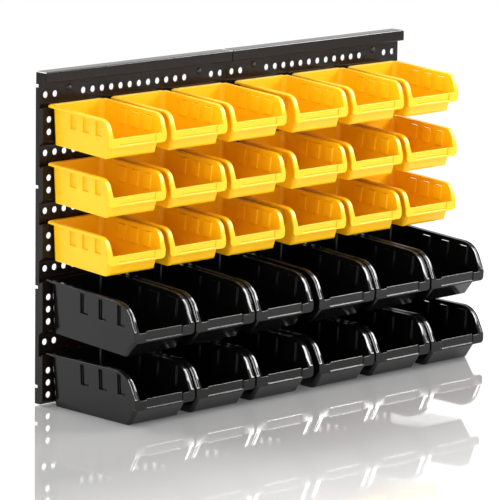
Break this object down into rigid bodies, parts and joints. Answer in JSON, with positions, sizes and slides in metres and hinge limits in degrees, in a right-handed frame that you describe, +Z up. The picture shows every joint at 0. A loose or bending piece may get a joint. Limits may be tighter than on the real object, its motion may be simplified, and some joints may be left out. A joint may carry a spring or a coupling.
{
  "type": "wall-mounted bin rack",
  "caption": "Two louvred wall panels with rows of hole bands, carrying small and large open-fronted bins that hook over the louvre lips and lift off.",
  "frame": {"origin": "on the wall plane at the centre of the wall screws", "axes": "+X along the wall to the right, +Y into the wall, +Z up"},
  "size_m": [0.63, 0.2106, 0.4197],
  "materials": {
    "panel": "semi-gloss black moulding",
    "screw": "black screw",
    "small_bin": "golden yellow moulding",
    "large_bin": "glossy black moulding"
  },
  "bodies": {
    "rack": {"panel_left": "panel", "panel_right": "panel", "wall_screws": "screw"},
    "small_bin_r1c1": {"small_bin_r1c1": "small_bin"},
    "small_bin_r1c2": {"small_bin_r1c2": "small_bin"},
    "small_bin_r1c3": {"small_bin_r1c3": "small_bin"},
    "small_bin_r1c4": {"small_bin_r1c4": "small_bin"},
    "small_bin_r1c5": {"small_bin_r1c5": "small_bin"},
    "small_bin_r1c6": {"small_bin_r1c6": "small_bin"},
    "small_bin_r2c1": {"small_bin_r2c1": "small_bin"},
    "small_bin_r2c2": {"small_bin_r2c2": "small_bin"},
    "small_bin_r2c3": {"small_bin_r2c3": "small_bin"},
    "small_bin_r2c4": {"small_bin_r2c4": "small_bin"},
    "small_bin_r2c5": {"small_bin_r2c5": "small_bin"},
    "small_bin_r2c6": {"small_bin_r2c6": "small_bin"},
    "small_bin_r3c1": {"small_bin_r3c1": "small_bin"},
    "small_bin_r3c2": {"small_bin_r3c2": "small_bin"},
    "small_bin_r3c3": {"small_bin_r3c3": "small_bin"},
    "small_bin_r3c4": {"small_bin_r3c4": "small_bin"},
    "small_bin_r3c5": {"small_bin_r3c5": "small_bin"},
    "small_bin_r3c6": {"small_bin_r3c6": "small_bin"},
    "large_bin_r4c1": {"large_bin_r4c1": "large_bin"},
    "large_bin_r4c2": {"large_bin_r4c2": "large_bin"},
    "large_bin_r4c3": {"large_bin_r4c3": "large_bin"},
    "large_bin_r4c4": {"large_bin_r4c4": "large_bin"},
    "large_bin_r4c5": {"large_bin_r4c5": "large_bin"},
    "large_bin_r4c6": {"large_bin_r4c6": "large_bin"},
    "large_bin_r5c1": {"large_bin_r5c1": "large_bin"},
    "large_bin_r5c2": {"large_bin_r5c2": "large_bin"},
    "large_bin_r5c3": {"large_bin_r5c3": "large_bin"},
    "large_bin_r5c4": {"large_bin_r5c4": "large_bin"},
    "large_bin_r5c5": {"large_bin_r5c5": "large_bin"},
    "large_bin_r5c6": {"large_bin_r5c6": "large_bin"}
  },
  "joints": [
    {"name": "lift_small_bin_r1c1", "type": "slide", "parent": "rack", "child": "small_bin_r1c1", "axis": [0, 0, 1], "range_m": [0, 0.01]},
    {"name": "lift_small_bin_r1c2", "type": "slide", "parent": "rack", "child": "small_bin_r1c2", "axis": [0, 0, 1], "range_m": [0, 0.01]},
    {"name": "lift_small_bin_r1c3", "type": "slide", "parent": "rack", "child": "small_bin_r1c3", "axis": [0, 0, 1], "range_m": [0, 0.01]},
    {"name": "lift_small_bin_r1c4", "type": "slide", "parent": "rack", "child": "small_bin_r1c4", "axis": [0, 0, 1], "range_m": [0, 0.01]},
    {"name": "lift_small_bin_r1c5", "type": "slide", "parent": "rack", "child": "small_bin_r1c5", "axis": [0, 0, 1], "range_m": [0, 0.01]},
    {"name": "lift_small_bin_r1c6", "type": "slide", "parent": "rack", "child": "small_bin_r1c6", "axis": [0, 0, 1], "range_m": [0, 0.01]},
    {"name": "lift_small_bin_r2c1", "type": "slide", "parent": "rack", "child": "small_bin_r2c1", "axis": [0, 0, 1], "range_m": [0, 0.01]},
    {"name": "lift_small_bin_r2c2", "type": "slide", "parent": "rack", "child": "small_bin_r2c2", "axis": [0, 0, 1], "range_m": [0, 0.01]},
    {"name": "lift_small_bin_r2c3", "type": "slide", "parent": "rack", "child": "small_bin_r2c3", "axis": [0, 0, 1], "range_m": [0, 0.01]},
    {"name": "lift_small_bin_r2c4", "type": "slide", "parent": "rack", "child": "small_bin_r2c4", "axis": [0, 0, 1], "range_m": [0, 0.01]},
    {"name": "lift_small_bin_r2c5", "type": "slide", "parent": "rack", "child": "small_bin_r2c5", "axis": [0, 0, 1], "range_m": [0, 0.01]},
    {"name": "lift_small_bin_r2c6", "type": "slide", "parent": "rack", "child": "small_bin_r2c6", "axis": [0, 0, 1], "range_m": [0, 0.01]},
    {"name": "lift_small_bin_r3c1", "type": "slide", "parent": "rack", "child": "small_bin_r3c1", "axis": [0, 0, 1], "range_m": [0, 0.01]},
    {"name": "lift_small_bin_r3c2", "type": "slide", "parent": "rack", "child": "small_bin_r3c2", "axis": [0, 0, 1], "range_m": [0, 0.01]},
    {"name": "lift_small_bin_r3c3", "type": "slide", "parent": "rack", "child": "small_bin_r3c3", "axis": [0, 0, 1], "range_m": [0, 0.01]},
    {"name": "lift_small_bin_r3c4", "type": "slide", "parent": "rack", "child": "small_bin_r3c4", "axis": [0, 0, 1], "range_m": [0, 0.01]},
    {"name": "lift_small_bin_r3c5", "type": "slide", "parent": "rack", "child": "small_bin_r3c5", "axis": [0, 0, 1], "range_m": [0, 0.01]},
    {"name": "lift_small_bin_r3c6", "type": "slide", "parent": "rack", "child": "small_bin_r3c6", "axis": [0, 0, 1], "range_m": [0, 0.01]},
    {"name": "lift_large_bin_r4c1", "type": "slide", "parent": "rack", "child": "large_bin_r4c1", "axis": [0, 0, 1], "range_m": [0, 0.01]},
    {"name": "lift_large_bin_r4c2", "type": "slide", "parent": "rack", "child": "large_bin_r4c2", "axis": [0, 0, 1], "range_m": [0, 0.01]},
    {"name": "lift_large_bin_r4c3", "type": "slide", "parent": "rack", "child": "large_bin_r4c3", "axis": [0, 0, 1], "range_m": [0, 0.01]},
    {"name": "lift_large_bin_r4c4", "type": "slide", "parent": "rack", "child": "large_bin_r4c4", "axis": [0, 0, 1], "range_m": [0, 0.01]},
    {"name": "lift_large_bin_r4c5", "type": "slide", "parent": "rack", "child": "large_bin_r4c5", "axis": [0, 0, 1], "range_m": [0, 0.01]},
    {"name": "lift_large_bin_r4c6", "type": "slide", "parent": "rack", "child": "large_bin_r4c6", "axis": [0, 0, 1], "range_m": [0, 0.01]},
    {"name": "lift_large_bin_r5c1", "type": "slide", "parent": "rack", "child": "large_bin_r5c1", "axis": [0, 0, 1], "range_m": [0, 0.01]},
    {"name": "lift_large_bin_r5c2", "type": "slide", "parent": "rack", "child": "large_bin_r5c2", "axis": [0, 0, 1], "range_m": [0, 0.01]},
    {"name": "lift_large_bin_r5c3", "type": "slide", "parent": "rack", "child": "large_bin_r5c3", "axis": [0, 0, 1], "range_m": [0, 0.01]},
    {"name": "lift_large_bin_r5c4", "type": "slide", "parent": "rack", "child": "large_bin_r5c4", "axis": [0, 0, 1], "range_m": [0, 0.01]},
    {"name": "lift_large_bin_r5c5", "type": "slide", "parent": "rack", "child": "large_bin_r5c5", "axis": [0, 0, 1], "range_m": [0, 0.01]},
    {"name": "lift_large_bin_r5c6", "type": "slide", "parent": "rack", "child": "large_bin_r5c6", "axis": [0, 0, 1], "range_m": [0, 0.01]}
  ]
}
